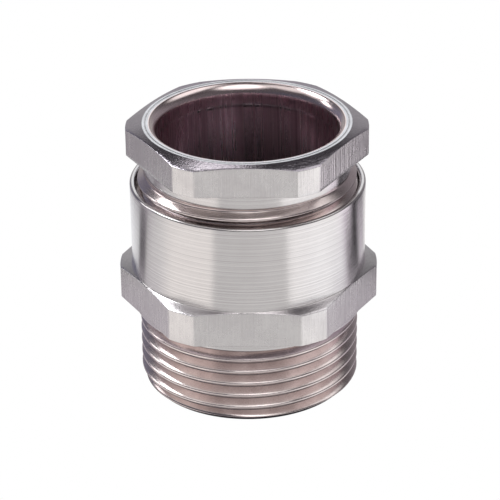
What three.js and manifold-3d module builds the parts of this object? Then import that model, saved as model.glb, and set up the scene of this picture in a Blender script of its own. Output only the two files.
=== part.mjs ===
// Metric cable gland, M25 x 1.5, nickel-plated brass: a body with a connection thread, a hexagon and a tall
// round barrel, and a hexagonal pressure screw that runs in the barrel's inner thread and squeezes a rubber
// sealing ring between two thin steel washers.
// Millimetres, +Z up along the axis of the gland. The origin is the centre of the threaded end face.
import * as THREE from "three";
import { mergeVertices } from "three/addons/utils/BufferGeometryUtils.js";
import Module from "manifold-3d";

const wasm = await Module();
wasm.setup();

// ---------- driving dimensions ----------
const SEGMENTS = 36; // facets round every turned surface and steps in one turn of every thread
const PITCH = 1.5;
const FLANK = Math.tan(Math.PI / 6); // axial run of a 60 degree thread's flank for each unit of depth
const CREST_HALF = PITCH / 16; // half the width of a crest flat

// gland body
const THREAD_CREST = 12.45;
const THREAD_ROOT = 11.53;
const THREAD_FRONT_Z = 0.48; // height of the first crest at the front of the gland, azimuth -90 degrees
const SHANK_START = 8.55;
const SHANK_R = 12.52;
const SEAT_Z = 9.49; // face that seats on the panel
const SEAT_R = 13.0;
const BODY_HEX_BOTTOM = 10.32;
const BODY_HEX_TOP = 14.46;
const BODY_HEX_AF = 26.75;
const BODY_HEX_CORNER_R = 14.6;
const BODY_HEX_CORNER_TOP = 14.08;
const BARREL_R = 13.21;
const BARREL_TOP = 24.45;
const BARREL_EDGE = 0.2;
const MOUTH_R = 12.72;
const ENTRY_BORE_R = 10.0;
const CHAMBER_FLOOR = 9.6;
const CHAMBER_R = 11.75; // also the minor radius of the inner thread
const INNER_MAJOR_R = 12.55;
const INNER_THREAD_TURNS = 7; // turns of the inner thread below the mouth

// pressure screw
const SCREW_BOTTOM = 18.7;
const SCREW_ROOT = 11.45;
const SCREW_CREST = 12.25;
const SCREW_FRONT_Z = 25.13; // height of the last crest at the front
const COLLAR_R = 11.62;
const COLLAR_BOTTOM = 26.05;
const SCREW_HEX_BOTTOM = 27.85;
const TOTAL_HEIGHT = 31.45;
const SCREW_HEX_AF = 24.6;
const SCREW_HEX_CORNER_R = 13.49;
const SCREW_HEX_CORNER_TOP = 30.92;
const FACE_OUTER_R = 11.64;
const FACE_INNER_R = 10.98;
const NECK_R = 9.95;
const NECK_TOP = 30.1;
const NECK_BOTTOM = 29.1;
const SCREW_BORE_R = 10.2;

// seal pack
const WASHER_THICKNESS = 0.8;
const WASHER_OUTER_R = 11.35;
const WASHER_INNER_R = 9.2;
const REST_GAP = 0.05; // gap between pieces that rest on each other
const SEAL_OUTER_R = 11.3;
const SEAL_RADII = [
  // [outer radius, inner radius] of each concentric ring of the cut-out seal
  ["sealing_ring_outer", SEAL_OUTER_R, 8.75],
  ["sealing_ring_middle", 8.55, 7.05],
  ["sealing_ring_inner", 6.85, 5.35],
];

const nickel = (name) =>
  new THREE.MeshStandardMaterial({ name, color: 0xb9b4b0, roughness: 0.3, metalness: 1 });
const steel = new THREE.MeshStandardMaterial({ name: "zinc_plated_steel", color: 0xa9adb1, roughness: 0.4, metalness: 1 });
const rubber = new THREE.MeshStandardMaterial({ name: "black_rubber", color: 0x1d1d1f, roughness: 0.85, metalness: 0 });

// ---------- solids ----------
function signedVolume(positions, triangles) {
  let sum = 0;
  const a = new THREE.Vector3(), b = new THREE.Vector3(), c = new THREE.Vector3();
  for (let i = 0; i < triangles.length; i += 3) {
    a.fromArray(positions, 3 * triangles[i]);
    b.fromArray(positions, 3 * triangles[i + 1]);
    c.fromArray(positions, 3 * triangles[i + 2]);
    sum += a.dot(b.cross(c));
  }
  return sum / 6;
}

// A closed geometry as a manifold solid facing out.
function solid(geometry) {
  const bare = geometry.clone();
  for (const name of Object.keys(bare.attributes)) if (name !== "position") bare.deleteAttribute(name);
  const merged = mergeVertices(bare, 1e-4);
  const positions = merged.attributes.position.array;
  const source = merged.index.array;
  const triangles = [];
  for (let i = 0; i < source.length; i += 3) {
    const [p, q, r] = [source[i], source[i + 1], source[i + 2]];
    if (p !== q && q !== r && p !== r) triangles.push(p, q, r);
  }
  if (signedVolume(positions, triangles) < 0)
    for (let i = 0; i < triangles.length; i += 3)
      [triangles[i + 1], triangles[i + 2]] = [triangles[i + 2], triangles[i + 1]];
  return new wasm.Manifold(
    new wasm.Mesh({ numProp: 3, vertProperties: new Float32Array(positions), triVerts: new Uint32Array(triangles) }),
  );
}

function geometryOf(made) {
  const mesh = made.getMesh();
  const count = mesh.vertProperties.length / mesh.numProp;
  const positions = new Float32Array(3 * count);
  for (let i = 0; i < count; i++)
    positions.set(mesh.vertProperties.subarray(i * mesh.numProp, i * mesh.numProp + 3), 3 * i);
  const geometry = new THREE.BufferGeometry();
  geometry.setAttribute("position", new THREE.BufferAttribute(positions, 3));
  geometry.setIndex(new THREE.BufferAttribute(new Uint32Array(mesh.triVerts), 1));
  geometry.computeVertexNormals();
  return geometry;
}

// A closed [radius, height] outline turned round the gland's axis.
function turned(outline, segments = SEGMENTS) {
  const points = [...outline, outline[0]].map(([r, z]) => new THREE.Vector2(r, z));
  return new THREE.LatheGeometry(points, segments).rotateX(Math.PI / 2);
}

// A hexagonal prism with its corners on +X and -X and two flats square to Y.
function hexPrism(acrossFlats, bottom, top) {
  const shape = new THREE.Shape();
  for (let k = 0; k < 6; k++) {
    const angle = (k * Math.PI) / 3, r = acrossFlats / Math.sqrt(3);
    const x = r * Math.cos(angle), y = r * Math.sin(angle);
    if (k) shape.lineTo(x, y);
    else shape.moveTo(x, y);
  }
  shape.closePath();
  return new THREE.ExtrudeGeometry(shape, { depth: top - bottom, bevelEnabled: false }).translate(0, 0, bottom);
}

// Everything outside a hexagon between two heights, as a cutter.
function outsideHex(acrossFlats, bottom, top) {
  const ring = solid(turned([[2, bottom], [18, bottom], [18, top], [2, top]], SEGMENTS));
  return ring.subtract(solid(hexPrism(acrossFlats, bottom - 1, top + 1)));
}

// A right-hand helical ridge with a trapezoid section, crest outwards. frontZ is the height of the middle of
// the crest at azimuth -90 degrees, and the ridge runs from turn `from` to turn `to` counted from there.
function helix(baseR, crestR, frontZ, from, to) {
  const baseHalf = CREST_HALF + (crestR - baseR) * FLANK;
  const section = [[baseR, -baseHalf], [crestR, -CREST_HALF], [crestR, CREST_HALF], [baseR, baseHalf]];
  const first = Math.round(from * SEGMENTS), last = Math.round(to * SEGMENTS);
  const positions = [], index = [], n = section.length;
  for (let i = first; i <= last; i++) {
    const angle = -Math.PI / 2 + (2 * Math.PI * i) / SEGMENTS;
    for (const [r, dz] of section)
      positions.push(r * Math.cos(angle), r * Math.sin(angle), frontZ + (PITCH * i) / SEGMENTS + dz);
  }
  const steps = last - first;
  for (let i = 0; i < steps; i++)
    for (let j = 0; j < n; j++) {
      const a = i * n + j, b = i * n + ((j + 1) % n), c = a + n, d = b + n;
      index.push(a, c, b, b, c, d);
    }
  for (let j = 1; j < n - 1; j++) {
    index.push(0, j, j + 1);
    const e = steps * n;
    index.push(e, e + j + 1, e + j);
  }
  const geometry = new THREE.BufferGeometry();
  geometry.setAttribute("position", new THREE.Float32BufferAttribute(positions, 3));
  geometry.setIndex(index);
  return geometry;
}

// ---------- gland body ----------
function glandBody() {
  const blank = solid(turned([
    [ENTRY_BORE_R + 0.4, 0],
    [THREAD_ROOT - 0.05, 0],
    [THREAD_ROOT, 0.4],
    [THREAD_ROOT, SHANK_START - 0.4],
    [SHANK_R, SHANK_START],
    [SHANK_R, SEAT_Z],
    [SEAT_R, SEAT_Z],
    [SEAT_R, BODY_HEX_BOTTOM],
    [BODY_HEX_CORNER_R, BODY_HEX_BOTTOM],
    [BODY_HEX_CORNER_R, BODY_HEX_CORNER_TOP],
    [BARREL_R, BODY_HEX_TOP],
    [BARREL_R, BARREL_TOP - BARREL_EDGE],
    [BARREL_R - BARREL_EDGE, BARREL_TOP],
    [MOUTH_R, BARREL_TOP],
    [CHAMBER_R, BARREL_TOP - 0.6],
    [CHAMBER_R, CHAMBER_FLOOR],
    [ENTRY_BORE_R, CHAMBER_FLOOR],
    [ENTRY_BORE_R, 0.4],
  ]));
  // the connection thread, chamfered at its end and run out into the plain shank
  const envelope = solid(turned([
    [11.2, 0],
    [11.78, 0],
    [12.6, 0.82],
    [12.6, SHANK_START - 0.33],
    [12.1, SHANK_START + 0.05],
    [11.2, SHANK_START + 0.05],
  ]));
  const thread = solid(helix(THREAD_ROOT - 0.09, THREAD_CREST, THREAD_FRONT_Z, -1.25, 6.25)).intersect(envelope);
  const groove = solid(helix(CHAMBER_R - 0.2, INNER_MAJOR_R, SCREW_FRONT_Z, -INNER_THREAD_TURNS, 0.5));
  return blank
    .add(thread)
    .subtract(outsideHex(BODY_HEX_AF, BODY_HEX_BOTTOM - 0.4, BODY_HEX_TOP + 0.6))
    .subtract(groove);
}

// ---------- pressure screw ----------
function pressureScrew() {
  const blank = solid(turned([
    [SCREW_BORE_R + 0.5, SCREW_BOTTOM],
    [SCREW_ROOT - 0.25, SCREW_BOTTOM],
    [SCREW_ROOT, SCREW_BOTTOM + 0.25],
    [SCREW_ROOT, COLLAR_BOTTOM - 0.17],
    [COLLAR_R, COLLAR_BOTTOM],
    [COLLAR_R, SCREW_HEX_BOTTOM],
    [SCREW_HEX_CORNER_R, SCREW_HEX_BOTTOM],
    [SCREW_HEX_CORNER_R, SCREW_HEX_CORNER_TOP],
    [FACE_OUTER_R, TOTAL_HEIGHT],
    [FACE_INNER_R, TOTAL_HEIGHT],
    [FACE_INNER_R - 0.5, TOTAL_HEIGHT - 0.28],
    [NECK_R + 0.14, TOTAL_HEIGHT - 0.75],
    [NECK_R, NECK_TOP],
    [NECK_R, NECK_BOTTOM],
    [SCREW_BORE_R, NECK_BOTTOM - 0.12],
    [SCREW_BORE_R, SCREW_BOTTOM + 0.5],
  ]));
  const envelope = solid(turned([
    [11.1, SCREW_BOTTOM],
    [11.6, SCREW_BOTTOM],
    [12.4, SCREW_BOTTOM + 0.8],
    [12.4, COLLAR_BOTTOM - 0.8],
    [11.6, COLLAR_BOTTOM - 0.03],
    [11.1, COLLAR_BOTTOM - 0.03],
  ]));
  const thread = solid(helix(SCREW_ROOT - 0.12, SCREW_CREST, SCREW_FRONT_Z, -5, 0.75)).intersect(envelope);
  return blank
    .add(thread)
    .subtract(outsideHex(SCREW_HEX_AF, SCREW_HEX_BOTTOM - 0.4, TOTAL_HEIGHT + 1));
}

// ---------- seal pack ----------
const ringOutline = (outer, inner, bottom, top, edge) => [
  [inner, bottom],
  [outer - edge, bottom],
  [outer, bottom + edge],
  [outer, top - edge],
  [outer - edge, top],
  [inner, top],
];

const lowerWasherBottom = CHAMBER_FLOOR + REST_GAP;
const sealBottom = lowerWasherBottom + WASHER_THICKNESS + REST_GAP;
const upperWasherBottom = SCREW_BOTTOM - REST_GAP - WASHER_THICKNESS;
const sealTop = upperWasherBottom - REST_GAP;

const gland = new THREE.Group();
function piece(name, geometry, material, parent = gland) {
  const mesh = new THREE.Mesh(geometry, material);
  mesh.name = name;
  parent.add(mesh);
  return mesh;
}

piece("gland_body", geometryOf(glandBody()), nickel("nickel_plated_brass_body"));
piece(
  "lower_pressure_washer",
  turned(ringOutline(WASHER_OUTER_R, WASHER_INNER_R, lowerWasherBottom, lowerWasherBottom + WASHER_THICKNESS, 0.12)),
  steel,
);
for (const [name, outer, inner] of SEAL_RADII)
  piece(name, turned(ringOutline(outer, inner, sealBottom, sealTop, 0.25)), rubber);
piece(
  "upper_pressure_washer",
  turned(ringOutline(WASHER_OUTER_R, WASHER_INNER_R, upperWasherBottom, upperWasherBottom + WASHER_THICKNESS, 0.12)),
  steel,
);
piece("pressure_screw", geometryOf(pressureScrew()), nickel("nickel_plated_brass_screw"));

export default gland;
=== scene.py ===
"""Metric brass cable gland: the detailed surface meshes, the materials, the stage, the light and the camera."""
import math

import bpy
import numpy as np
from mathutils import Matrix, Vector


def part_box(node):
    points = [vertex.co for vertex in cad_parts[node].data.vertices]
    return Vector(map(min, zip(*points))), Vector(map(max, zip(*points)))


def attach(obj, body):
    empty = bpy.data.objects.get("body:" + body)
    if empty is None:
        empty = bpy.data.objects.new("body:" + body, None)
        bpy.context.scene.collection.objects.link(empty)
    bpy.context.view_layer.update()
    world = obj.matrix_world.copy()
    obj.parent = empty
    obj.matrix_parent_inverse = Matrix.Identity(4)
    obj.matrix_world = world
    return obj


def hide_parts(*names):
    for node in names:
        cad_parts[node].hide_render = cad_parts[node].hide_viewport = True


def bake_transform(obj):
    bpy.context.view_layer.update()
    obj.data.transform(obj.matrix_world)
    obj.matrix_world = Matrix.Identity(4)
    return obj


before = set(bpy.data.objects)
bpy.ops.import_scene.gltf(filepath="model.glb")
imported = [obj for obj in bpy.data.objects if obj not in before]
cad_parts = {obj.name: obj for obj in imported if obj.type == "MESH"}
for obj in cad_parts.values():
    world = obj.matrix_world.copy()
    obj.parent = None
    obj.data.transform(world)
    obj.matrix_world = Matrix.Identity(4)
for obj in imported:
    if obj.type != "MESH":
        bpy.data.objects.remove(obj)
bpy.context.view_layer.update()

# ---------------------------------------------------------------- dimensions, mm
PITCH = 1.5
FLANK = math.tan(math.radians(30))
# body
BODY_AF, BODY_R = 26.75, 14.60
BODY_HEX_Z0, BODY_HEX_CORNER_TOP = 10.32, 14.08
BARREL_R, BARREL_Z0, BARREL_Z1 = 13.21, 14.46, 24.45
SEAT_R, SEAT_Z = 13.0, 9.49
CREST_R, ROOT_R, THREAD_Z = 12.45, 11.53, 0.48
# screw
SCREW_AF, SCREW_R = 24.6, 13.49
SCREW_HEX_Z0, TOP_Z = 27.85, 31.45
RING_R0, RING_R1 = 10.98, 11.64
COLLAR_R, COLLAR_Z0 = 11.62, 26.07
SCREW_CREST, SCREW_ROOT, SCREW_Z = 12.34, 11.45, 25.13
SCREW_BOTTOM = 18.7
MM = 0.001


# ---------------------------------------------------------------- mesh helpers
def columns(af, corner_r, n=240):
    """Angles round the axis, closer together at the edges between a hexagon's flats and its corner bands."""
    base = np.arange(n) * (2 * math.pi / n)
    extra = []
    half = math.acos(af / 2 / corner_r)
    for k in range(6):
        mid = math.radians(30 + 60 * k)
        for side in (-1, 1):
            for d in (-0.75, -0.3, 0.0, 0.3, 0.75):
                extra.append((mid + side * half + math.radians(d)) % (2 * math.pi))
    keep = [b for b in base if min(abs((b - e + math.pi) % (2 * math.pi) - math.pi) for e in extra) > math.radians(0.32)]
    return np.array(sorted(keep + extra))


def hex_radius(theta, af, corner_r, soft=0.014):
    """Distance from the axis to a turned-down hexagon's wall, with a small round where flat and corner band meet."""
    toward_flat = (theta) % (math.pi / 3) - math.pi / 6  # 0 at the middle of a flat
    flat = af / 2 / np.cos(toward_flat)
    return soft_min(flat, corner_r, soft)


def soft_min(a, b, k):
    m = np.minimum(a, b)
    return m - k * np.log(np.exp(-(a - m) / k) + np.exp(-(b - m) / k))


def soft_max(a, b, k):
    return -soft_min(-np.asarray(a, float), -np.asarray(b, float), k)


def fillet(p, q, s, size, n=4):
    """Points of a small round at q on the path p-q-s, as (r, z) pairs; the ends are support points."""
    p, q, s = (np.asarray(v, float) for v in (p, q, s))
    a = q + (p - q) / np.linalg.norm(p - q) * size
    b = q + (s - q) / np.linalg.norm(s - q) * size
    out = []
    for i in range(n + 1):
        t = i / n
        out.append(tuple((1 - t) ** 2 * a + 2 * t * (1 - t) * q + t ** 2 * b))
    return out


class Shell:
    """A closed surface made of rings: every ring has one point for each column, and the last joins the first."""

    def __init__(self, theta):
        self.theta = theta
        self.rings = []  # (r array, z array)
        self.slots = []  # slot of the band between this ring and the next

    def ring(self, r, z, slot):
        n = len(self.theta)
        self.rings.append((np.broadcast_to(np.asarray(r, float), n).copy(), np.broadcast_to(np.asarray(z, float), n).copy()))
        self.slots.append(slot)

    def build(self, name):
        """Weld everything by position and drop the faces that closed up."""
        theta = self.theta
        n = len(theta)
        R = np.array([r for r, _ in self.rings])
        Z = np.array([z for _, z in self.rings])
        X, Y = R * np.cos(theta), R * np.sin(theta)
        verts = np.stack([X, Y, Z], -1).reshape(-1, 3)
        m = len(self.rings)
        quads, slots = [], []
        for i in range(m):
            a = i * n + np.arange(n)
            b = i * n + (np.arange(n) + 1) % n
            i2 = (i + 1) % m
            c = i2 * n + (np.arange(n) + 1) % n
            d = i2 * n + np.arange(n)
            quads.append(np.stack([a, b, c, d], -1))
            slots += [self.slots[i]] * n
        return weld(name, verts, np.concatenate(quads), np.array(slots))


def weld(name, verts, quads, slots):
    key = np.round(verts, 4)
    unique, inverse = np.unique(key, axis=0, return_inverse=True)
    inverse = inverse.reshape(-1)
    q = inverse[quads]
    faces, kept = [], []
    for f, s in zip(q.tolist(), slots.tolist()):
        g = []
        for v in f:
            if not g or g[-1] != v:
                g.append(v)
        if len(g) > 1 and g[0] == g[-1]:
            g.pop()
        if len(g) >= 3 and len(set(g)) == len(g):
            faces.append(g)
            kept.append(s)
    mesh = bpy.data.meshes.new(name)
    mesh.from_pydata((unique * MM).tolist(), [], faces)
    mesh.validate()
    mesh.update()
    for p, s in zip(mesh.polygons, kept):
        p.material_index = s
    mesh.shade_smooth()
    return mesh


def thread_samples(crest, root, crest_flat, outward=True, samples=None):
    """Axial offsets within one pitch and the radius at each, for a 60 degree thread with small rounds."""
    depth = crest - root
    half = crest_flat / 2
    run = depth * FLANK
    lim = min(half + run, PITCH / 2 - 0.03)
    if samples is None:
        samples = [-0.75, -(lim + 0.05), -(lim - 0.03), -(lim - 0.12), -(half + run * 0.5), -(half + 0.11), -(half + 0.03),
                   -half + 0.02, -half * 0.4, half * 0.4, half - 0.02, half + 0.03, half + 0.11, half + run * 0.5, lim - 0.12, lim - 0.03, lim + 0.05]
    u = np.array(sorted(samples))
    r = crest - (np.abs(u) - half) / FLANK
    r = soft_max(soft_min(r, crest, 0.03), root, 0.03)
    r = np.clip(r, root, crest)
    return u, r


def helical(theta, u, r_of_u, z_front, z_lo, z_hi, limit, inner=False):
    """A grid that follows a right-hand helix: rows for each sample of each turn, held between two heights.
    limit(theta, z) gives the largest (or for an inner thread the smallest) radius allowed there."""
    lap = np.concatenate([theta, [theta[0] + 2 * math.pi]])
    lead = PITCH * ((lap + math.pi / 2) / (2 * math.pi))
    k0 = math.floor((z_lo - z_front) / PITCH) - 3
    k1 = math.ceil((z_hi - z_front) / PITCH) + 2
    rows_z, rows_r = [], []
    for k in range(k0, k1 + 1):
        for du, r in zip(u, r_of_u):
            z = z_front + PITCH * k + du + lead
            rows_z.append(z)
            rows_r.append(np.full(len(lap), r))
    Z, R = np.array(rows_z), np.array(rows_r)
    Zc = np.clip(Z, z_lo, z_hi)
    lim = limit(lap[None, :], Zc)
    R = np.maximum(R, lim) if inner else np.minimum(R, lim)
    # all that was pushed on to an end ring shares that ring's radius
    R = np.where(Z <= z_lo, limit(lap[None, :], np.full_like(Z, z_lo)), R)
    R = np.where(Z >= z_hi, limit(lap[None, :], np.full_like(Z, z_hi)), R)
    use = [i for i in range(len(Z)) if (Z[max(i - 1, 0)] < z_hi).any() and (Z[min(i + 1, len(Z) - 1)] > z_lo).any()]
    # keep one whole collapsed row at each end
    lo_i = max(use[0], 0)
    hi_i = min(use[-1], len(Z) - 1)
    return lap, R[lo_i:hi_i + 1], Zc[lo_i:hi_i + 1]


def grid_part(lap, R, Z, slot, flip):
    """Vertices and quads of an open helical grid; welding joins its seam and its ends to the rings next to it."""
    m, n = R.shape
    X, Y = R * np.cos(lap), R * np.sin(lap)
    verts = np.stack([X, Y, Z], -1).reshape(-1, 3)
    i, j = np.meshgrid(np.arange(m - 1), np.arange(n - 1), indexing="ij")
    a = (i * n + j).ravel()
    b, c, d = a + 1, a + n + 1, a + n
    quads = np.stack([a, d, c, b] if flip else [a, b, c, d], -1)
    return verts, quads, np.full(len(quads), slot)


def open_part(theta, rings, slots):
    """Vertices and quads of an open stack of rings, first to last, wound to face out on an upward outer wall."""
    n = len(theta)
    R = np.array([np.broadcast_to(np.asarray(r, float), n) for r, _ in rings])
    Z = np.array([np.broadcast_to(np.asarray(z, float), n) for _, z in rings])
    X, Y = R * np.cos(theta), R * np.sin(theta)
    verts = np.stack([X, Y, Z], -1).reshape(-1, 3)
    quads, s = [], []
    for i in range(len(rings) - 1):
        a = i * n + np.arange(n)
        b = i * n + (np.arange(n) + 1) % n
        quads.append(np.stack([a, b, b + n, a + n], -1))
        s += [slots[i]] * n
    return verts, np.concatenate(quads), np.array(s)


def join(name, parts):
    verts, quads, slots, base = [], [], [], 0
    for v, q, s in parts:
        verts.append(v)
        quads.append(q + base)
        slots.append(s)
        base += len(v)
    return weld(name, np.concatenate(verts), np.concatenate(quads), np.concatenate(slots))


# ---------------------------------------------------------------- materials
def srgb(r, g, b):
    def lin(c):
        c /= 255
        return c / 12.92 if c <= 0.04045 else ((c + 0.055) / 1.055) ** 2.4
    return (lin(r), lin(g), lin(b), 1.0)


def node_material(name):
    m = bpy.data.materials.new(name)
    m.use_nodes = True
    m.node_tree.nodes.clear()
    out = m.node_tree.nodes.new("ShaderNodeOutputMaterial")
    bsdf = m.node_tree.nodes.new("ShaderNodeBsdfPrincipled")
    m.node_tree.links.new(bsdf.outputs[0], out.inputs[0])
    return m, m.node_tree, bsdf


def new(tree, kind, **props):
    node = tree.nodes.new(kind)
    for k, v in props.items():
        if k.startswith("in_"):
            node.inputs[k[3:].replace("_", " ")].default_value = v
        else:
            setattr(node, k, v)
    return node


def maths(tree, op, a, b=None):
    node = tree.nodes.new("ShaderNodeMath")
    node.operation = op
    for i, v in enumerate((a, b)):
        if v is None:
            continue
        if hasattr(v, "is_output"):
            tree.links.new(v, node.inputs[i])
        else:
            node.inputs[i].default_value = v
    return node.outputs[0]


def ramp(tree, fac, stops, interpolation="LINEAR"):
    node = tree.nodes.new("ShaderNodeValToRGB")
    node.color_ramp.interpolation = interpolation
    el = node.color_ramp.elements
    while len(el) > 1:
        el.remove(el[-1])
    el[0].position, el[0].color = stops[0][0], stops[0][1]
    for p, c in stops[1:]:
        e = el.new(p)
        e.color = c
    tree.links.new(fac, node.inputs[0])
    return node.outputs[0]


def grey(v):
    return (v, v, v, 1.0)


def noise(tree, vector, scale, detail=3.0, rough=0.55, dims="3D"):
    node = new(tree, "ShaderNodeTexNoise", noise_dimensions=dims)
    node.inputs["Scale"].default_value = scale
    node.inputs["Detail"].default_value = detail
    node.inputs["Roughness"].default_value = rough
    if vector is not None:
        tree.links.new(vector, node.inputs["W" if dims == "1D" else "Vector"])
    return node.outputs[0]


def scaled(tree, vector, sx, sy, sz):
    node = new(tree, "ShaderNodeMapping")
    node.inputs["Scale"].default_value = (sx, sy, sz)
    tree.links.new(vector, node.inputs["Vector"])
    return node.outputs[0]


def metal(name, colour_a, colour_b, rough_lo, rough_hi, aniso=0.0, kind="turned", line=0.5, grain=0.2, mottle=0.25, line_scale=4500.0, lined=0.0, painted_root_shade=False, fine_scale=3800.0):
    """Plated metal: a slightly uneven tint, roughness in soft patches, and a fine relief of tool marks and grain;
    optionally painted shade at the bottom of thread grooves and, for a bore, painted reflection streaks in the colour.
    """
    m, t, b = node_material(name)
    coord = new(t, "ShaderNodeTexCoord").outputs["Object"]
    sep = new(t, "ShaderNodeSeparateXYZ")
    t.links.new(coord, sep.inputs[0])
    x, y, z = sep.outputs
    radius = maths(t, "SQRT", maths(t, "ADD", maths(t, "MULTIPLY", x, x), maths(t, "MULTIPLY", y, y)))
    along = maths(t, "ADD", z, maths(t, "MULTIPLY", radius, 0.83))
    fine = noise(t, coord, fine_scale, 2.0, 0.6)
    patch = noise(t, coord, 330.0, 3.0, 0.55)
    if kind == "turned":
        marks = noise(t, along, line_scale, 3.0, 0.6, "1D")
    elif kind == "flat":  # drawn bar stock: faint lines along the bar, and short milling scratches
        marks = noise(t, scaled(t, coord, 1.0, 1.0, 0.03), 5200.0, 2.0, 0.6)
    elif kind == "bore":  # bored and reamed: faint streaks along the axis, reaming marks in the relief; mixed into the colour by lined they are painted reflection streaks
        angle = maths(t, "ARCTAN2", x, y)
        marks = noise(t, maths(t, "ADD", angle, maths(t, "MULTIPLY", z, 2.0)), 9.0, 3.0, 0.65, "1D")
    else:
        marks = noise(t, coord, 1500.0, 3.0, 0.6)
    tint = maths(t, "ADD", maths(t, "MULTIPLY", patch, 1.0 - mottle), maths(t, "MULTIPLY", fine, mottle))
    if lined:
        tint = maths(t, "ADD", maths(t, "MULTIPLY", tint, 1.0 - lined), maths(t, "MULTIPLY", marks, lined))
    colour = ramp(t, tint, [(0.32, colour_b), (0.62, colour_a)])
    if painted_root_shade:  # painted shade: the colour is darkened towards the bottom of each thread groove, where shade falls
        depth = ramp(t, maths(t, "MULTIPLY", maths(t, "SUBTRACT", radius, 0.01145), 1000.0), [(0.0, (0.87, 0.85, 0.85, 1)), (0.55, (0.94, 0.92, 0.92, 1)), (0.85, (1, 1, 1, 1))])
        root_shade_mix = new(t, "ShaderNodeMix", data_type="RGBA", blend_type="MULTIPLY")
        ins = {k: [s_in for s_in in root_shade_mix.inputs if s_in.name == k and s_in.type == ("VALUE" if k == "Factor" else "RGBA")][0] for k in ("Factor", "A", "B")}
        ins["Factor"].default_value = 1.0
        t.links.new(colour, ins["A"])
        t.links.new(depth, ins["B"])
        colour = [o for o in root_shade_mix.outputs if o.type == "RGBA"][0]
    t.links.new(colour, b.inputs["Base Color"])
    rough = ramp(t, tint, [(0.3, grey(rough_hi)), (0.65, grey(rough_lo))])
    t.links.new(rough, b.inputs["Roughness"])
    b.inputs["Metallic"].default_value = 1.0
    b.inputs["Anisotropic"].default_value = aniso
    b.inputs["Anisotropic Rotation"].default_value = 0.25
    if aniso:
        tangent = new(t, "ShaderNodeTangent", direction_type="RADIAL", axis="Z")
        t.links.new(tangent.outputs[0], b.inputs["Tangent"])
    first = new(t, "ShaderNodeBump")
    first.inputs["Strength"].default_value = line
    first.inputs["Distance"].default_value = 0.00002
    t.links.new(marks, first.inputs["Height"])
    second = new(t, "ShaderNodeBump")
    second.inputs["Strength"].default_value = grain
    second.inputs["Distance"].default_value = 0.00003
    t.links.new(fine, second.inputs["Height"])
    t.links.new(first.outputs[0], second.inputs["Normal"])
    t.links.new(second.outputs[0], b.inputs["Normal"])
    return m


NI_A, NI_B = (0.72, 0.70, 0.69, 1), (0.655, 0.63, 0.62, 1)
turned_metal = metal("nickel_turned", (0.735, 0.715, 0.705, 1), (0.61, 0.585, 0.58, 1), 0.17, 0.23, 0.88, "turned", 0.6, 0.05, mottle=0.1, line_scale=6000.0, lined=0.8)
cone_metal = metal("nickel_cone", (0.64, 0.60, 0.65, 1), (0.50, 0.46, 0.51, 1), 0.08, 0.15, 0.2, "turned", 0.4, 0.55, mottle=0.5, fine_scale=5200.0)
flat_metal = metal("nickel_flats", NI_A, (0.60, 0.575, 0.575, 1), 0.24, 0.33, 0.0, "flat", 3.0, 0.7, lined=0.22)
shoulder_metal = metal("nickel_shoulder", (0.76, 0.74, 0.76, 1), (0.66, 0.635, 0.65, 1), 0.18, 0.26, 0.2, "turned", 0.4, 0.35, mottle=0.4)
# painted shade: this thread's colour is darker towards the bottom of its grooves
thread_metal = metal("nickel_thread", (0.78, 0.705, 0.685, 1), (0.64, 0.56, 0.545, 1), 0.17, 0.25, 0.5, "turned", 0.35, 0.15, painted_root_shade=True)
ring_metal = metal("nickel_ring", (0.70, 0.70, 0.72, 1), (0.58, 0.58, 0.60, 1), 0.16, 0.24, 0.0, "grain", 0.3, 0.3)
funnel_metal = metal("nickel_funnel", (0.84, 0.73, 0.71, 1), (0.66, 0.55, 0.55, 1), 0.15, 0.22, 0.3, "turned", 0.3, 0.08, lined=0.5)
# painted reflection: its lined streaks put reflection streaks into the bore's colour
bore_metal = metal("brass_bore", (0.92, 0.70, 0.76, 1), (0.52, 0.36, 0.41, 1), 0.22, 0.36, 0.3, "bore", 0.5, 0.2, lined=0.85)
steel_metal = metal("zinc_steel", (0.62, 0.64, 0.66, 1), (0.5, 0.52, 0.55, 1), 0.28, 0.4, 0.0, "grain", 0.3, 0.3)


def rubber_material():
    m, t, b = node_material("black_rubber")
    coord = new(t, "ShaderNodeTexCoord").outputs["Object"]
    fine = noise(t, coord, 2500.0, 3.0, 0.6)
    patch = noise(t, coord, 260.0, 2.0, 0.5)
    t.links.new(ramp(t, patch, [(0.3, (0.018, 0.018, 0.019, 1)), (0.7, (0.034, 0.033, 0.033, 1))]), b.inputs["Base Color"])
    t.links.new(ramp(t, fine, [(0.3, grey(0.55)), (0.7, grey(0.78))]), b.inputs["Roughness"])
    bump = new(t, "ShaderNodeBump")
    bump.inputs["Strength"].default_value = 0.4
    bump.inputs["Distance"].default_value = 0.00003
    t.links.new(fine, bump.inputs["Height"])
    t.links.new(bump.outputs[0], b.inputs["Normal"])
    b.inputs["Specular IOR Level"].default_value = 0.4
    return m


rubber = rubber_material()

TURNED, CONE, FLATS, THREAD, RING, FUNNEL, BORE, SHOULDER = range(8)
METALS = [turned_metal, cone_metal, flat_metal, thread_metal, ring_metal, funnel_metal, bore_metal, shoulder_metal]


def place(name, mesh, materials, body, slot, *replaced):
    o = bpy.data.objects.new(name, mesh)
    bpy.context.scene.collection.objects.link(o)
    for m in materials:
        mesh.materials.append(m)
    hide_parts(*replaced)
    return o


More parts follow.
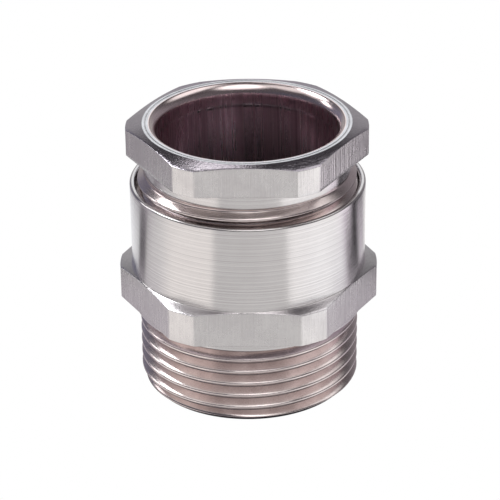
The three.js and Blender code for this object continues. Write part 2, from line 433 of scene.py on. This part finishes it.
# ---------------------------------------------------------------- gland body
def hex_wall(theta, af, corner_r, z0, z_edge_of_r, cone_slope, r_end, slots_wall, slots_cone):
    """Rings up a hexagon's wall, round its top edge, and over the turned cone to r_end."""
    r = hex_radius(theta, af, corner_r)
    z_e = z_edge_of_r(r)
    rings, slots = [], []
    c = 0.07
    # under-edge round, wall, top-edge round
    for dr, dz in ((c, 0.0), (c * 0.3, c * 0.04), (0.0, c * 0.6)):
        rings.append((r - dr, np.full_like(r, z0) + dz))
        slots.append(slots_wall)
    for f in (0.1, 0.35, 0.65, 0.9):
        rings.append((r, z0 + c + (z_e - z0 - 2 * c) * f))
        slots.append(slots_wall)
    s = 0.055
    tilt = math.atan(cone_slope)
    out = (-math.cos(tilt), math.sin(tilt))
    for t in (0.0, 0.3, 0.6, 1.0):
        # quadratic round between (r, z_e - s) and the point s along the cone
        pr = (1 - t) ** 2 * r + 2 * t * (1 - t) * r + t * t * (r + out[0] * s)
        pz = (1 - t) ** 2 * (z_e - s) + 2 * t * (1 - t) * z_e + t * t * (z_e + out[1] * s)
        rings.append((pr, pz))
        slots.append(slots_wall if t < 0.5 else slots_cone)
    for f in (0.35, 0.7):
        rr = r + (r_end - r) * f
        rings.append((rr, z_e + (r - rr) * cone_slope))
        slots.append(slots_cone)
    return rings, slots


theta_b = columns(BODY_AF, BODY_R)


def body_mesh():
    parts = []
    # bottom face, from the bore's edge to the end of the thread's chamfer
    rings, slots = [], []
    for r, z in fillet((9.7, 0.9), (10.3, 0.0), (11.7, 0.0), 0.12, 4):
        rings.append((r, z))
        slots.append(TURNED)
    rings.append((11.0, 0.0)); slots.append(TURNED)
    rings.append((11.62, 0.0)); slots.append(THREAD)
    rings.append((11.68, 0.02)); slots.append(THREAD)
    first_inner = rings[0]
    z_lo, z_hi = 0.03, 9.40

    def limit(t, z):
        lead_in = 11.70 + (z - 0.03) * 1.0
        run_out = 11.58 + np.maximum(0.0, 9.36 - z) * 4.0
        return np.minimum(lead_in, run_out)

    parts.append(open_part(theta_b, rings + [(np.full(len(theta_b), 11.70), np.full(len(theta_b), z_lo))], slots))
    u, r = thread_samples(CREST_R, ROOT_R - 0.06, 0.23)
    lap, R, Z = helical(theta_b, u, r, THREAD_Z, z_lo, z_hi, limit)
    parts.append(grid_part(lap, R, Z, THREAD, False))
    # undercut, seat face, seat ring, hexagon, cone, barrel, rim, countersink
    rings = [(11.58, z_hi)]
    slots = [THREAD]
    rings += [(11.60, 9.47), (11.68, 9.49)]; slots += [CONE, CONE]
    rings += [(12.4, 9.49)]; slots += [CONE]
    for p in fillet((12.4, 9.49), (SEAT_R, SEAT_Z), (SEAT_R, 10.0), 0.07, 4):
        rings.append(p); slots.append(TURNED)
    rings += [(SEAT_R, 10.0)]; slots += [TURNED]
    for p in fillet((SEAT_R, 10.0), (SEAT_R, BODY_HEX_Z0), (14.0, BODY_HEX_Z0), 0.05, 3):
        rings.append(p); slots.append(TURNED)
    rh = hex_radius(theta_b, BODY_AF, BODY_R)
    rings.append((SEAT_R + (rh - SEAT_R) * 0.55, np.full_like(rh, BODY_HEX_Z0))); slots.append(FLATS)
    slope = math.tan(math.radians(15))
    w, s = hex_wall(theta_b, BODY_AF, BODY_R, BODY_HEX_Z0, lambda r: BODY_HEX_CORNER_TOP + (BODY_R - r) * slope, slope, BARREL_R + 0.05, FLATS, SHOULDER)
    rings += w; slots += s
    # a small inner round where the cone meets the barrel
    zc = BODY_HEX_CORNER_TOP + (BODY_R - BARREL_R) * slope
    for p in fillet((BARREL_R + 0.3, zc - 0.3 * slope), (BARREL_R, zc), (BARREL_R, zc + 0.5), 0.09, 4):
        rr, zz = p
        # never wider than the flat it stands on
        rings.append((np.minimum(rr, rh - 0.02), np.full_like(rh, zz))); slots.append(TURNED)
    for z in (zc + 0.5, 16.5, 18.5, 20.5, 22.5, 23.8):
        rings.append((BARREL_R, z)); slots.append(TURNED)
    for p in fillet((BARREL_R, 23.8), (BARREL_R, BARREL_Z1), (12.9, BARREL_Z1), 0.26, 6):
        rings.append(p); slots.append(TURNED)
    for p in fillet((12.95, BARREL_Z1), (12.74, BARREL_Z1), (12.2, BARREL_Z1 - 0.45), 0.06, 3):
        rings.append(p); slots.append(RING)
    z_top, z_bot = 24.0, 14.2
    rings.append((12.3, z_top)); slots.append(THREAD)
    rings.append((12.3, z_top)); slots.append(THREAD)
    parts.append(open_part(theta_b, rings, slots))

    # inner thread, from below: smallest radius 11.75, grooves to 12.55
    u, r = thread_samples(12.55 - 11.75 + 1.0, 1.0, 0.24, samples=[-0.75, -0.62, -0.5, -0.3, -0.16, -0.08, 0.08, 0.16, 0.3, 0.5, 0.62])
    r = r - 1.0 + 11.75

    def inner_limit(t, z):
        mouth = 12.3 + (z - z_top) * 1.0
        return np.maximum(np.where(z >= z_top - 0.6, mouth, 11.75), 11.75)

    lap, R, Z = helical(theta_b, u, r, SCREW_Z, z_bot, z_top, inner_limit, inner=True)
    # thread ends in a plain bore at the bottom
    R = np.where(Z < z_bot + 0.35, np.minimum(R, 11.75 + (Z - z_bot) * 2.4), R)
    parts.append(grid_part(lap, R, Z, THREAD, True))
    # chamber, floor, exit bore, back to the bottom face
    rings = [(11.75, z_bot), (11.75, 13.0), (11.75, 11.5)]
    slots = [BORE] * 3
    for p in fillet((11.75, 11.0), (11.75, 9.6), (10.5, 9.6), 0.12, 3):
        rings.append(p); slots.append(BORE)
    rings.append((10.8, 9.6)); slots.append(BORE)
    for p in fillet((10.8, 9.6), (10.0, 9.6), (10.0, 8.0), 0.15, 3):
        rings.append(p); slots.append(BORE)
    for z in (7.0, 5.0, 3.0, 1.2):
        rings.append((10.0, z)); slots.append(BORE)
    rings.append((10.02, 0.55)); slots.append(BORE)
    rings.append(first_inner); slots.append(BORE)
    parts.append(open_part(theta_b, rings, slots))
    return join("gland_body_surface", parts)


body = place("gland_body_surface", body_mesh(), METALS, "body", "nickel_plated_brass_body", "gland_body")
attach(body, "body")

# ---------------------------------------------------------------- pressure screw
theta_s = columns(SCREW_AF, SCREW_R)


def screw_mesh():
    parts = []
    z_lo, z_hi = 18.80, 26.00

    def limit(t, z):
        lead_in = 11.52 + (z - z_lo) * 1.0
        run_out = 11.50 + np.maximum(0.0, 25.92 - z) * 1.25
        return np.minimum(lead_in, run_out)

    rings, slots = [], []
    for p in fillet((10.2, 19.6), (10.65, 18.7), (11.4, 18.7), 0.15, 3):
        rings.append(p); slots.append(TURNED)
    first = rings[0]
    rings.append((11.40, 18.70)); slots.append(THREAD)
    rings.append((11.47, 18.74)); slots.append(THREAD)
    rings.append((limit(0, z_lo), z_lo)); slots.append(THREAD)
    parts.append(open_part(theta_s, rings, slots))
    u, r = thread_samples(SCREW_CREST, SCREW_ROOT, 0.22)
    lap, R, Z = helical(theta_s, u, r, SCREW_Z, z_lo, z_hi, limit)
    parts.append(grid_part(lap, R, Z, THREAD, False))
    rings = [(limit(0, z_hi), z_hi)]
    slots = [THREAD]
    rings += [(11.52, COLLAR_Z0 - 0.02), (11.58, COLLAR_Z0 + 0.01), (COLLAR_R, COLLAR_Z0 + 0.07)]
    slots += [TURNED] * 3
    for z in (26.5, 27.0, 27.4):
        rings.append((COLLAR_R, z)); slots.append(TURNED)
    for p in fillet((COLLAR_R, 27.4), (COLLAR_R, SCREW_HEX_Z0), (12.2, SCREW_HEX_Z0), 0.06, 3):
        rings.append(p); slots.append(TURNED)
    rh = hex_radius(theta_s, SCREW_AF, SCREW_R)
    rings.append((COLLAR_R + (rh - COLLAR_R) * 0.5, np.full_like(rh, SCREW_HEX_Z0))); slots.append(FLATS)
    slope = (TOP_Z - 30.92) / (SCREW_R - RING_R1)
    w, s = hex_wall(theta_s, SCREW_AF, SCREW_R, SCREW_HEX_Z0, lambda r: TOP_Z - (r - RING_R1) * slope, slope, RING_R1 + 0.09, FLATS, CONE)
    rings += w; slots += s
    for p in fillet((RING_R1 + 0.3, TOP_Z - 0.3 * slope), (RING_R1, TOP_Z), (11.3, TOP_Z), 0.05, 3):
        rings.append(p); slots.append(RING)
    for r, z in ((11.42, TOP_Z), (11.38, TOP_Z - 0.006), (11.35, TOP_Z - 0.022), (11.30, TOP_Z - 0.022), (11.27, TOP_Z - 0.006), (11.23, TOP_Z)):
        rings.append((r, z)); slots.append(RING)
    # the polished lip: it rolls over from the ring's edge, slants in, and turns down into the neck
    lip = [(11.10, 31.45), (RING_R0, TOP_Z), (10.87, 31.435), (10.74, 31.385), (10.58, 31.285), (10.42, 31.155), (10.30, 31.03), (10.19, 30.88), (10.09, 30.70), (10.02, 30.50), (9.97, 30.28), (9.95, 30.05), (9.95, 29.8)]
    for i in range(1, len(lip) - 2):
        p0, p1, p2, p3 = (np.array(v) for v in lip[i - 1:i + 3])
        for t in (0.0, 0.5):
            p = 0.5 * (2 * p1 + (p2 - p0) * t + (2 * p0 - 5 * p1 + 4 * p2 - p3) * t ** 2 + (3 * p1 - p0 - 3 * p2 + p3) * t ** 3)
            rings.append((p[0], p[1])); slots.append(FUNNEL if p[1] > 30.52 else BORE)
    rings.append((9.95, 29.9)); slots.append(BORE)
    rings.append((9.95, 29.4)); slots.append(BORE)
    for p in fillet((9.95, 29.5), (9.95, 29.12), (10.2, 29.02), 0.05, 3):
        rings.append(p); slots.append(BORE)
    rings.append((10.2, 29.0)); slots.append(BORE)
    for z in (28.6, 27.5, 26.0, 24.5, 23.0, 21.5, 20.4):
        rings.append((10.2, z)); slots.append(BORE)
    rings.append(first); slots.append(BORE)
    parts.append(open_part(theta_s, rings, slots))
    return join("pressure_screw_surface", parts)


screw = place("pressure_screw_surface", screw_mesh(), METALS, "screw", "nickel_plated_brass_screw", "pressure_screw")
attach(screw, "screw")


# ---------------------------------------------------------------- washers and sealing rings
def lathe(name, outline, n=160):
    theta = np.arange(n) * (2 * math.pi / n)
    shell = Shell(theta)
    for r, z in outline:
        shell.ring(r, z, 0)
    return shell.build(name)


def washer_outline(z0, outer=11.35, inner=9.2, t=0.8):
    """A stamped washer: a rolled edge on the punch side and a small burr on the other."""
    pts = []
    pts += fillet((inner, z0 + 0.4), (inner, z0), (10.0, z0), 0.08, 3)
    pts += [(10.2, z0)]
    pts += fillet((10.2, z0), (outer, z0), (outer, z0 + 0.4), 0.08, 3)
    pts += fillet((outer, z0 + 0.4), (outer, z0 + t), (10.2, z0 + t), 0.16, 5)
    pts += [(10.2, z0 + t)]
    pts += fillet((10.2, z0 + t), (inner, z0 + t), (inner, z0 + 0.4), 0.16, 5)
    return pts


def ring_outline(outer, inner, z0, z1):
    """A moulded rubber ring: rounded edges and a shallow waist, with a parting line at mid height."""
    mid = (z0 + z1) / 2
    pts = fillet((inner, z0 + 1), (inner, z0), (outer, z0), 0.25, 4)
    pts += fillet((inner, z0), (outer, z0), (outer, z0 + 1), 0.25, 4)
    pts += [(outer, z0 + 1.2), (outer - 0.03, z0 + 2.4), (outer - 0.03, mid - 0.12), (outer, mid - 0.05), (outer, mid + 0.05), (outer - 0.03, mid + 0.12), (outer - 0.03, z1 - 2.4), (outer, z1 - 1.2)]
    pts += fillet((outer, z1 - 1), (outer, z1), (inner, z1), 0.25, 4)
    pts += fillet((outer, z1), (inner, z1), (inner, z1 - 1), 0.25, 4)
    pts += [(inner, z1 - 1.2), (inner + 0.05, z1 - 2.4), (inner + 0.05, z0 + 2.4), (inner, z0 + 1.2)]
    return pts


for node, body_name in (("lower_pressure_washer", "body"), ("upper_pressure_washer", "washer")):
    z0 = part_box(node)[0][2] / MM
    z1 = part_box(node)[1][2] / MM
    o = place(node + "_surface", lathe(node + "_surface", washer_outline(z0, t=z1 - z0)), [steel_metal], body_name, "zinc_plated_steel", node)
    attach(o, body_name)

for node, outer, inner in (("sealing_ring_outer", 11.3, 8.75), ("sealing_ring_middle", 8.55, 7.05), ("sealing_ring_inner", 6.85, 5.35)):
    z0, z1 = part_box(node)[0][2] / MM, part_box(node)[1][2] / MM
    o = place(node + "_surface", lathe(node + "_surface", ring_outline(outer, inner, z0, z1)), [rubber], "body", "black_rubber", node)
    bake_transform(o)

# ---------------------------------------------------------------- stage and light
def emission_material(name, build):
    m = bpy.data.materials.new(name)
    m.use_nodes = True
    t = m.node_tree
    t.nodes.clear()
    out = t.nodes.new("ShaderNodeOutputMaterial")
    em = t.nodes.new("ShaderNodeEmission")
    t.links.new(em.outputs[0], out.inputs[0])
    build(t, em)
    return m


def azimuth_factor(t, position):
    """0..1 round the axis: 0.5 is the front, above it to the right."""
    sep = new(t, "ShaderNodeSeparateXYZ")
    t.links.new(position, sep.inputs[0])
    x, y, _ = sep.outputs
    ang = maths(t, "ARCTAN2", x, maths(t, "MULTIPLY", y, -1.0))
    return maths(t, "ADD", maths(t, "DIVIDE", ang, 2 * math.pi), 0.5)


def az(deg):
    return (deg + 180.0) / 360.0


# What lies round the gland on the table, by azimuth from the front (+ to the right): pale and grey cards with two
# narrow dark gaps. The hexagons, the barrel and the collar each reflect their own distance from the axis.
WARM, COOL, PLAIN, DARK, NIGHT = (1.0, 0.965, 0.95), (0.99, 1.0, 1.03), (1.0, 0.985, 0.99), (1.0, 0.93, 1.02), (0.88, 0.88, 1.18)
NEAR = [(-180, 1.00, COOL), (-135, 0.89, PLAIN), (-120, 0.53, DARK), (-85, 0.57, DARK), (-70, 1.02, WARM), (-33, 1.02, WARM), (-28, 0.71, PLAIN), (0, 0.71, PLAIN),
        (32, 0.75, PLAIN), (37, 1.07, PLAIN), (72, 1.08, PLAIN), (85, 0.61, DARK), (120, 0.48, DARK), (135, 0.89, PLAIN), (180, 1.00, COOL)]
MIDDLE = [(-180, 1.18, COOL), (-142, 1.05, COOL), (-126, 0.90, COOL), (-119.5, 0.75, COOL), (-116.5, 0.10, DARK), (-107, 0.10, DARK), (-103, 0.66, PLAIN), (-96, 0.83, PLAIN),
          (-82, 0.94, PLAIN), (-67, 1.08, WARM), (-30.0, 1.10, WARM), (-29.0, 0.70, PLAIN), (0, 0.71, PLAIN), (34.5, 0.74, PLAIN), (35.5, 1.16, PLAIN), (60, 1.25, COOL), (86, 1.21, COOL),
          (93, 1.02, COOL), (98, 0.60, DARK), (102, 0.06, DARK), (109, 0.03, DARK), (119, 0.04, DARK), (123, 0.54, DARK), (128, 0.71, DARK), (137, 0.56, DARK), (143, 0.96, PLAIN), (152, 1.18, PLAIN), (180, 1.18, COOL)]
FAR = [(-180, .36, DARK), (-135, .34, DARK), (-114, .36, DARK), (-100, .50, DARK), (-86, .74, PLAIN), (-72, 1.00, WARM), (-31, 1.04, WARM), (-28, .72, PLAIN), (0, .75, PLAIN),
       (33, .82, PLAIN), (37, 1.16, PLAIN), (70, 1.24, PLAIN), (84, 1.15, PLAIN), (96, 1.25, DARK), (105, 1.25, DARK), (108, .60, DARK), (111, .05, DARK), (128, .05, DARK), (145, .34, DARK), (180, .36, DARK)]


def sector_ramp(t, fac, stops):
    return ramp(t, fac, [(az(d), (v * c[0], v * c[1], v * c[2], 1.0)) for d, v, c in stops])


def mix_colour(t, fac, a, b):
    node = new(t, "ShaderNodeMix", data_type="RGBA")
    for s_in in node.inputs:
        value = {"Factor": fac, "A": a, "B": b}.get(s_in.name)
        if value is None or (s_in.name == "Factor") != (s_in.type == "VALUE") or (s_in.name != "Factor" and s_in.type != "RGBA"):
            continue
        if hasattr(value, "is_output"):
            t.links.new(value, s_in)
        else:
            s_in.default_value = value
    return [o for o in node.outputs if o.type == "RGBA"][0]


def step_up(t, value, lo, hi):
    node = new(t, "ShaderNodeMapRange", interpolation_type="SMOOTHSTEP")
    t.links.new(value, node.inputs["Value"])
    node.inputs["From Min"].default_value = lo
    node.inputs["From Max"].default_value = hi
    return node.outputs[0]


def floor_build(t, em):
    coord = new(t, "ShaderNodeTexCoord").outputs["Object"]
    fac = azimuth_factor(t, coord)
    sep = new(t, "ShaderNodeSeparateXYZ")
    t.links.new(coord, sep.inputs[0])
    x, y, _ = sep.outputs
    radius = maths(t, "SQRT", maths(t, "ADD", maths(t, "MULTIPLY", x, x), maths(t, "MULTIPLY", y, y)))
    colour = mix_colour(t, step_up(t, radius, 0.0355, 0.039), sector_ramp(t, fac, NEAR), sector_ramp(t, fac, MIDDLE))
    colour = mix_colour(t, step_up(t, radius, 0.054, 0.058), colour, sector_ramp(t, fac, FAR))
    # no light reaches the table under the gland and close round its foot
    colour = mix_colour(t, step_up(t, radius, 0.0119, 0.0150), (0.03, 0.027, 0.032, 1), colour)
    path = new(t, "ShaderNodeLightPath")
    t.links.new(mix_colour(t, path.outputs["Is Camera Ray"], colour, (1, 1, 1, 1)), em.inputs["Color"])
    em.inputs["Strength"].default_value = 1.0


def disc(name, radius, z, n=96):
    mesh = bpy.data.meshes.new(name)
    pts = [(radius * math.cos(2 * math.pi * i / n), radius * math.sin(2 * math.pi * i / n), z) for i in range(n)]
    mesh.from_pydata(pts, [], [list(range(n))])
    mesh.update()
    o = bpy.data.objects.new(name, mesh)
    bpy.context.scene.collection.objects.link(o)
    return o


floor = disc("studio_floor", 3.0, -0.00004)
floor.data.materials.append(emission_material("floor_white", floor_build))

world = bpy.data.worlds.new("studio")
bpy.context.scene.world = world
world.use_nodes = True
wt = world.node_tree
wt.nodes.clear()
w_out = wt.nodes.new("ShaderNodeOutputWorld")
w_bg = wt.nodes.new("ShaderNodeBackground")
wt.links.new(w_bg.outputs[0], w_out.inputs[0])
w_coord = new(wt, "ShaderNodeTexCoord").outputs["Generated"]
w_sep = new(wt, "ShaderNodeSeparateXYZ")
wt.links.new(w_coord, w_sep.inputs[0])
wx, wy, wz = w_sep.outputs
w_az = maths(wt, "ADD", maths(wt, "DIVIDE", maths(wt, "ARCTAN2", wx, maths(wt, "MULTIPLY", wy, -1.0)), 2 * math.pi), 0.5)
w_el = maths(wt, "DIVIDE", maths(wt, "ARCSINE", wz), math.pi / 2)
# round the horizon: dark in front and at the sides, brighter behind; dark and slightly purple overhead
LOW = [(-180, .46, PLAIN), (-160, .42, PLAIN), (-150, .24, NIGHT), (-95, .11, NIGHT), (-50, .10, NIGHT), (0, .09, DARK), (50, .13, DARK), (95, .18, DARK), (150, .30, DARK), (162, .40, PLAIN), (180, .44, PLAIN)]
HIGH = [(-180, .05, DARK), (-120, .06, DARK), (-60, .10, DARK), (0, .10, DARK), (60, .10, DARK), (120, .06, DARK), (180, .05, DARK)]
low = sector_ramp(wt, w_az, LOW)
high = sector_ramp(wt, w_az, HIGH)
sky = mix_colour(wt, step_up(wt, w_el, 0.18, 0.45), low, high)
# lamps and cards: direction, half angles where each is full and where it has ended, brightness, tint
CARDS = [
    ((0.0, 0.887, 0.462), 8, 12, 1.12, COOL),
    ((-0.13, 0.54, 0.83), 4, 8, 1.6, PLAIN),
    ((0.08, -0.42, 0.90), 11, 26, 2.0, PLAIN),
    ((-0.45, -0.05, 0.89), 12, 20, 0.9, PLAIN),
    ((-0.68, 0.20, 0.70), 6, 12, 1.0, PLAIN),
    ((-0.78, 0.44, 0.45), 5, 9, 4.0, PLAIN),
    ((0.45, 0.29, 0.84), 8, 23, 1.35, PLAIN),
    ((-0.50, 0.41, 0.76), 8.5, 11.5, 7.5, COOL),
]
for direction, inner, outer, value, tint in CARDS:
    dot = new(wt, "ShaderNodeVectorMath", operation="DOT_PRODUCT")
    wt.links.new(w_coord, dot.inputs[0])
    dot.inputs[1].default_value = tuple(Vector(direction).normalized())
    mask = step_up(wt, dot.outputs["Value"], math.cos(math.radians(outer)), math.cos(math.radians(inner)))
    sky = mix_colour(wt, mask, sky, (value * tint[0], value * tint[1], value * tint[2], 1.0))
w_path = new(wt, "ShaderNodeLightPath")
wt.links.new(mix_colour(wt, w_path.outputs["Is Camera Ray"], sky, (1, 1, 1, 1)), w_bg.inputs["Color"])

# ---------------------------------------------------------------- camera
cam_data = bpy.data.cameras.new("camera")
cam_data.sensor_width = 36.0
cam_data.lens = 164.7
cam_data.clip_start = 0.01
cam_data.clip_end = 20.0
cam = bpy.data.objects.new("camera", cam_data)
bpy.context.scene.collection.objects.link(cam)
elevation, azimuth, roll = math.radians(27.04), math.radians(0.85), math.radians(-0.622)
target = Vector((0.000177, 0.0, 0.015366))
away = Vector((math.sin(azimuth) * math.cos(elevation), -math.cos(azimuth) * math.cos(elevation), math.sin(elevation)))
cam.location = target + away * 0.26007
cam.rotation_euler = ((-away).to_track_quat("-Z", "Y").to_matrix().to_4x4() @ Matrix.Rotation(roll, 4, "Z")).to_euler()
bpy.context.scene.camera = cam
bpy.context.scene.view_settings.view_transform = "Standard"
bpy.context.scene.view_settings.look = "None"
